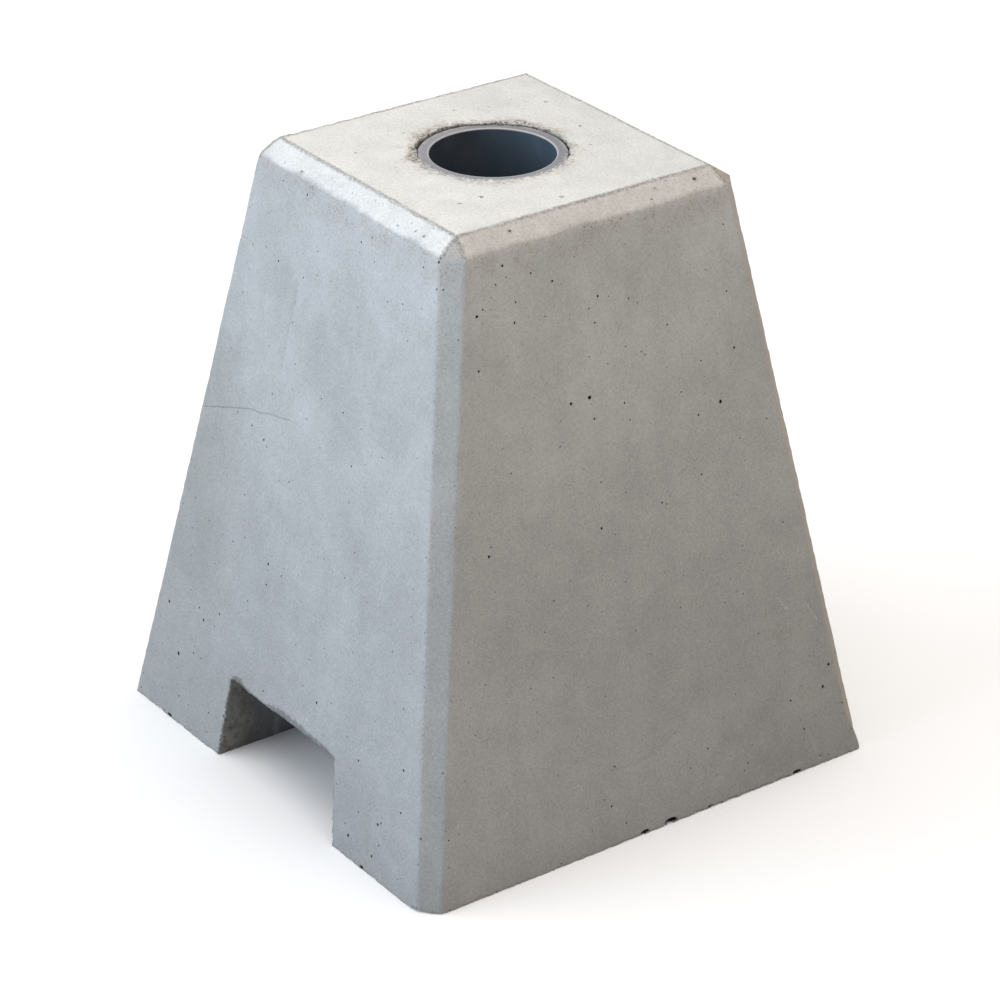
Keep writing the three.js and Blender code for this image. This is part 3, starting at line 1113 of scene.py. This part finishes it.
# The top and its chamfers carry a pale skin. The facets at the corners are left grey.
def paleSkin(tree, here, colour):
    look = concreteLook
    shoulder = block["shoulderHeight"] * mm
    # painted shade darkens the right-hand chamfer; its brown blotches are stains
    chamferOnRight = both(tree, here.rightward, here.onChamfer)
    colour = mixed(tree, chamferOnRight, colour, look["rightChamfer"], "MULTIPLY")
    blotched = both(tree, chamferOnRight, ramp(tree, here.clots, 0.45, 0.7), stains["chamferBlotches"])
    colour = mixed(tree, blotched, colour, look["brown"])
    aboveShoulder = ramp(tree, here.z, shoulder - 0.0006, shoulder + 0.0006)
    colour = mixed(tree, both(tree, here.onArris, aboveShoulder), colour, look["facetGrey"])
    struckTop = mixed(tree, ramp(tree, here.y, -0.05, 0.06, 0.0, 0.6), look["cream"], look["dullCream"])
    return mixed(tree, ramp(tree, here.onTop, 0.35, 0.8), colour, struckTop)


# Smudges below the chamfers, brown on the two corners at the sides, painted light on the near corner,
# sand, and grime with painted shade along the edges
def weathering(tree, here, colour):
    look = concreteLook
    shoulder = block["shoulderHeight"] * mm
    smudge = both(tree, ramp(tree, here.z, shoulder - 0.015, shoulder - 0.002),
                  ramp(tree, here.z, shoulder + 0.001, shoulder - 0.001),
                  ramp(tree, cloud(tree, here.at, 10, 5, 0.7), 0.42, 0.62))
    colour = mixed(tree, both(tree, smudge, stains["smudges"]), colour, look["brown"])
    peppered = both(tree, smudge, specks(tree, here.at, 1.3, 0.36), stains["pepper"])
    colour = mixed(tree, peppered, colour, look["dirtAndShade"])
    across = sums(tree, "ABSOLUTE", sums(tree, "SUBTRACT", here.x, here.y))
    browned = both(tree, here.onArris, ramp(tree, across, 0.08, 0.02), stains["brownedCorners"])
    colour = mixed(tree, browned, colour, look["brown"])
    # painted light on the near corner, cooler than the right-hand side
    nearCorner = both(tree, here.nearCorner, here.offFloor)
    colour = mixed(tree, nearCorner, colour, look["cornerPaintedLight"], "MULTIPLY")
    darkSand = both(tree, specks(tree, here.at, 4.2, 0.36), stains["darkSand"])
    colour = mixed(tree, darkSand, colour, look["dirtAndShade"])
    paleSand = specks(tree, stretchedPlace(tree, here.at, shift=(0.5, 0.2, 0.8)), 2.6, 0.4)
    colour = mixed(tree, both(tree, paleSand, stains["paleSand"]), colour, look["scuff"])
    # grime along the edges, with painted shade along the broken lip of the top edges
    edges = both(tree, storedValue(tree, "edgeSoilAndShade"), ramp(tree, here.smallClots, 0.3, 0.7, 0.4, 1.4))
    edges = both(tree, ramp(tree, edges, 0.25, 1.0), ramp(tree, here.patchy, 0.32, 0.6, 0.45, 1.0))
    return mixed(tree, both(tree, edges, stains["edgeShadeSoilMix"]), colour, look["dirtAndShade"])


# Brown stain round the sleeve, painted shade in the crannies between its crumbs, and dark paste with
# painted shade down its gap
def stainRoundSleeve(tree, here, colour):
    look = concreteLook
    height = block["height"] * mm
    ring = sums(tree, "ADD", here.fromAxis, ramp(tree, here.patchy, 0.3, 0.7, -0.003, 0.003))
    leftward = ramp(tree, here.x, 0.014, -0.018, 0.35, 1.0)
    halo = both(tree, here.onTop, leftward, ramp(tree, ring, 0.0375, 0.0310),
                ramp(tree, here.clots, 0.42, 0.62, 0.2, 0.9))
    colour = mixed(tree, halo, colour, look["brown"])
    # painted shade in the crannies between the crumbs round the sleeve
    crannyShade = both(tree, ramp(tree, ring, 0.0340, 0.0305), ramp(tree, here.smallClots, 0.47, 0.6),
                  leftward)
    colour = mixed(tree, crannyShade, colour, look["dirtAndShade"])
    # painted shade and dark paste on the gap's wall below the top
    inGap = both(tree, ramp(tree, here.fromAxis, 0.0338, 0.0305),
                 ramp(tree, here.z, height - 0.0010, height - 0.0016), stains["sleeveGapPasteAndShade"])
    return mixed(tree, inGap, colour, look["dirtAndShade"])


# The channel under the block is painted dark as shade, lighter and bluer further in, and stained beside
# its mouths
def paintedChannelShade(tree, here, colour):
    look = concreteLook
    fromMiddle = sums(tree, "ABSOLUTE", here.y)
    # painted shade: the channel's walls and ceiling are painted dark
    wall = mixed(tree, ramp(tree, here.patchy, 0.38, 0.62), look["channelShadeDark"], look["channelShadeGrey"])
    colour = mixed(tree, here.inChannel, colour, wall)
    deeper = both(tree, here.inChannel, ramp(tree, fromMiddle, 0.098, 0.084))
    colour = mixed(tree, deeper, colour, look["deepChannelShadeTint"], "MULTIPLY")
    stained = both(tree, here.inChannel, ramp(tree, fromMiddle, 0.085, 0.11),
                   ramp(tree, here.clots, 0.48, 0.62, 0.0, stains["channelMouth"]))
    return mixed(tree, stained, colour, look["channelStain"])


# Cracks, scuffs, painted shade on the brow's break, brown on chipped faces, and painted shade inside the
# holes and pins
def marksAndBreaks(tree, colour):
    look = concreteLook
    shade = storedValue(tree, "markShade")
    broken = storedValue(tree, "broken")
    # dark cracks, and painted shade on the brow's break
    colour = mixed(tree, ramp(tree, shade, 0.1, 1.0, 0.0, stains["crack"]), colour, look["crackAndBrowShade"])
    colour = mixed(tree, ramp(tree, shade, -0.1, -1.0, 0.0, stains["scuff"]), colour, look["scuff"])
    rimmed = ramp(tree, broken, 0.05, 0.45, 0.0, stains["brokenEdge"])
    colour = mixed(tree, rimmed, colour, look["brown"])
    # painted shade: near black inside the bug holes and pins
    return mixed(tree, ramp(tree, broken, 0.5, 0.9), colour, look["void"])


def concreteMaterial():
    look = concreteLook
    material, tree, shader = newMaterial("castConcrete")
    here = blockMasks(tree)
    colour = castGrey(tree, here)
    colour = paleSkin(tree, here, colour)
    colour = weathering(tree, here, colour)
    colour = stainRoundSleeve(tree, here, colour)
    colour = paintedChannelShade(tree, here, colour)
    colour = marksAndBreaks(tree, colour)
    runs = cloud(tree, stretchedPlace(tree, here.at, (1, 1, 0.06)), 7, 3)
    grain = cloud(tree, here.at, 1.1, 2, 0.7)
    fineGrain = cloud(tree, here.at, 0.45, 1, 0.5)
    value = 1.0
    for source, swing in ((here.patchy, 0.05), (runs, 0.02), (grain, 0.085), (fineGrain, 0.06)):
        value = sums(tree, "ADD", ramp(tree, source, 0.3, 0.7, -swing, swing), value)
    tree.links.new(scaled(tree, colour, value), shader.inputs["Base Color"])
    shader.inputs["Roughness"].default_value = look["roughness"]
    relief = sums(tree, "ADD", both(tree, grain, 0.6), here.patchy)
    addBump(tree, shader, relief, look["bumpStrength"], look["bumpDepth"] * mm)
    return material


plasticLook = {
    "grey": (0.100, 0.105, 0.120),
    "inside": (0.041, 0.052, 0.066),
    "litInside": (0.060, 0.093, 0.128),
    "cutEnd": (0.262, 0.262, 0.285),
    "dullEnd": (0.218, 0.218, 0.240),
    "paintedBoreHighlight": (0.52, 0.51, 0.50),
    "dust": (0.50, 0.48, 0.44),
    "roughness": 0.45,
    "bumpStrength": 0.25,
    "bumpDepth": 0.2,
}


def plasticMaterial():
    look = plasticLook
    material, tree, shader = newMaterial("sleevePlastic")
    at, x, y, z, fromAxis = placeOnObject(tree)
    rim = sleeveHigh.z
    inner = (sleeve["outer"] - sleeve["wall"]) * mm
    smear = cloud(tree, stretchedPlace(tree, at, (1, 1, 0.5)), 12, 5, 0.6)
    grain = cloud(tree, at, 0.7, 3, 0.7)
    # painted light and shade inside the bore: dark towards the front, lit towards the back
    inside = mixed(tree, ramp(tree, y, -0.004, 0.024), look["inside"], look["litInside"])
    colour = mixed(tree, ramp(tree, smear, 0.35, 0.75, 0.0, 0.3), inside, look["grey"])
    # the cut end is paler, with a painted highlight along the edge of its bore, and dust along its
    # outside
    atEnd = ramp(tree, z, rim - 0.0006, rim - 0.0003)
    cutEnd = mixed(tree, ramp(tree, y, -0.01, 0.025), look["cutEnd"], look["dullEnd"])
    colour = mixed(tree, atEnd, colour, cutEnd)
    # painted highlight on the bore's eased edge
    highlightBand = both(tree, ramp(tree, fromAxis, inner + 0.0009, inner + 0.0003),
                    ramp(tree, z, rim - 0.0008, rim - 0.0004), 0.7)
    colour = mixed(tree, highlightBand, colour, look["paintedBoreHighlight"])
    dusty = both(tree, ramp(tree, fromAxis, inner + 0.0022, inner + 0.0045),
                 ramp(tree, cloud(tree, at, 3.5), 0.42, 0.62), atEnd, 0.6)
    colour = mixed(tree, dusty, colour, look["dust"])
    value = ramp(tree, grain, 0.3, 0.7, 0.93, 1.07)
    tree.links.new(scaled(tree, colour, value), shader.inputs["Base Color"])
    roughness = ramp(tree, smear, 0.3, 0.7, look["roughness"] - 0.12, look["roughness"] + 0.15)
    tree.links.new(roughness, shader.inputs["Roughness"])
    addBump(tree, shader, grain, look["bumpStrength"], look["bumpDepth"] * mm)
    return material


castConcrete = concreteMaterial()
sleevePlastic = plasticMaterial()

deepRows, shallowRows = bugHoleRows()
helpers = {
    "Hole Places": placesObject("holePlaces", deepRows),
    "Shallow Places": placesObject("shallowPlaces", shallowRows),
    "Chip Places": placesObject("chipPlaces", chipRows()),
    # a broken value above 0.5 paints the cut faces with painted shade; lower values give the brown of
    # broken concrete
    "Hole Shape": lump("holeShape", 2, roughness=0.12, sunkBy=0.3, broken=1.0, seed=3),
    "Pin Shape": lump("pinShape", 1, roughness=0.1, sunkBy=0.1, broken=0.72, seed=5),
    "Chip Shape": lump("chipShape", 3, roughness=0.55, sunkBy=0.0, broken=0.45, seed=7),
    "Fray Shape": lump("frayShape", 1, roughness=0.5, sunkBy=0.0, broken=0.35, seed=9),
    "Crumb Shape": lump("crumbShape", 1, roughness=0.5, sunkBy=0.5, broken=0.0, seed=12, flatness=0.6,
                        onTop=0.9),
}

concreteBlock = link("concreteBlockPiece", blockMesh)
growWith(concreteBlock, breakOutTree(), {
    **helpers,
    "Pin Spacing": bugHoles["pinSpacing"] * mm,
    "Pin Smallest": bugHoles["pinSmallest"] * mm,
    "Pin Largest": bugHoles["pinLargest"] * mm,
    "Fray Spacing": chips["fraySpacing"] * mm,
    "Fray Smallest": chips["fraySmallest"] * mm,
    "Fray Largest": chips["frayLargest"] * mm,
    "Crumb Spacing": chips["crumbSpacing"] * mm,
    "Crumb Smallest": chips["crumbSmallest"] * mm,
    "Crumb Largest": chips["crumbLargest"] * mm,
    "Struck Level": (block["height"] - block["struckBelow"]) * mm,
    "Seed": bugHoles["seed"],
    "Concrete": castConcrete,
})
print(f"concrete block: {len(concreteBlock.data.polygons)} faces after the holes and chips")

sleevePiece = link("sleevePipePiece", bpy.data.meshes.new("sleevePipe"))
growWith(sleevePiece, sleeveTree(), {
    "Middle Radius": (sleeve["outer"] - sleeve["wall"] / 2) * mm,
    "Wall": sleeve["wall"] * mm,
    "Length": sleeveHigh.z - sleeveLow.z,
    "Lift": (sleeveHigh.z + sleeveLow.z) / 2,
    "Edge Break": sleeve["edgeBreak"] * mm,
    "Sides": sleeve["sides"],
    "Plastic": sleevePlastic,
})
print(f"sleeve pipe: {len(sleevePiece.data.polygons)} faces")

for helper in helpers.values():
    bpy.data.objects.remove(helper)


def finishSurface(made, angle):
    made.data.shade_smooth()
    made.data.set_sharp_from_angle(angle=math.radians(angle))


finishSurface(concreteBlock, 38)
finishSurface(sleevePiece, 30)

for piece, node, slot in ((concreteBlock, "concrete_block", "concrete"),
                          (sleevePiece, "sleeve_pipe", "sleeve_plastic")):
    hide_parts(node)
    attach(piece, "root")

# Camera: a long lens, from the right of the front and above
camera = {
    "azimuth": 54.137,
    "elevation": 27.470,
    "roll": 0.084,
    "distance": 1.55986,
    "aim": (0.00303, 0.10350),   # to the right of the axis, and height
    "lens": 135.09,
    "sensor": 36.0,
}


def placeCamera():
    azimuth, elevation = math.radians(camera["azimuth"]), math.radians(camera["elevation"])
    right = Vector((math.cos(azimuth), math.sin(azimuth), 0))
    back = Vector((math.sin(azimuth) * math.cos(elevation), -math.cos(azimuth) * math.cos(elevation),
                   math.sin(elevation)))
    target = right * camera["aim"][0] + Vector((0, 0, camera["aim"][1]))
    data = bpy.data.cameras.new("productCamera")
    data.lens = camera["lens"]
    data.sensor_width = camera["sensor"]
    data.clip_start = 0.05
    eye = bpy.data.objects.new("productCamera", data)
    bpy.context.scene.collection.objects.link(eye)
    eye.location = target + back * camera["distance"]
    eye.rotation_mode = "QUATERNION"
    eye.rotation_quaternion = back.to_track_quat("Z", "Y")
    eye.rotation_mode = "XYZ"
    eye.rotation_euler.rotate_axis("Z", math.radians(camera["roll"]))
    bpy.context.scene.camera = eye


# Studio light: where each soft box stands, its size, strength and colour. The front's are cool.
cool, warm, warmer = (0.793, 0.889, 1.0), (1.0, 0.965, 0.935), (1.0, 0.930, 0.860)
lights = {
    "over": {"at": (0.1, 0.2, 2.8), "size": 3.2, "power": 66.7, "colour": warm},
    "back": {"at": (0.3, 2.4, 2.0), "size": 3.0, "power": 17.3, "colour": warm},
    "key": {"at": (-1.6, -1.7, 2.0), "size": 3.0, "power": 17.4, "colour": cool},
    "sky": {"at": (-0.4, -2.6, 0.9), "size": 1.7, "power": 34.2, "colour": cool},
    "left": {"at": (-2.0, -2.0, 0.9), "size": 1.7, "power": 28.8, "colour": cool},
    "right": {"at": (2.0, -0.2, 2.0), "size": 2.6, "power": 9.1, "colour": warmer},
}
room = {"colour": warm, "strength": 0.264, "floor": (0.93, 0.93, 0.93), "floorHalf": 6.0, "lookAt": 0.13}


def placeLights():
    middle = Vector((0, 0, room["lookAt"]))
    for name, soft in lights.items():
        data = bpy.data.lights.new(name, "AREA")
        data.size = soft["size"]
        data.energy = soft["power"]
        data.color = soft["colour"]
        lamp = bpy.data.objects.new(name + "SoftBox", data)
        bpy.context.scene.collection.objects.link(lamp)
        lamp.location = soft["at"]
        lamp.rotation_euler = (Vector(soft["at"]) - middle).to_track_quat("Z", "Y").to_euler()
    world = bpy.data.worlds.new("studio")
    world.use_nodes = True
    background = world.node_tree.nodes["Background"]
    background.inputs["Color"].default_value = (*room["colour"], 1)
    background.inputs["Strength"].default_value = room["strength"]
    bpy.context.scene.world = world


def layFloor():
    half = room["floorHalf"]
    square = [(-half, -half, 0), (half, -half, 0), (half, half, 0), (-half, half, 0)]
    mesh = makeMesh("floor", square, [(0, 1, 2, 3)])
    floor = link("floor", mesh)
    material, tree, shader = newMaterial("paleFloor")
    shader.inputs["Base Color"].default_value = (*room["floor"], 1)
    shader.inputs["Roughness"].default_value = 0.9
    mesh.materials.append(material)


placeCamera()
placeLights()
layFloor()
bpy.context.scene.view_settings.view_transform = "Standard"
print("camera, lights and floor are placed")
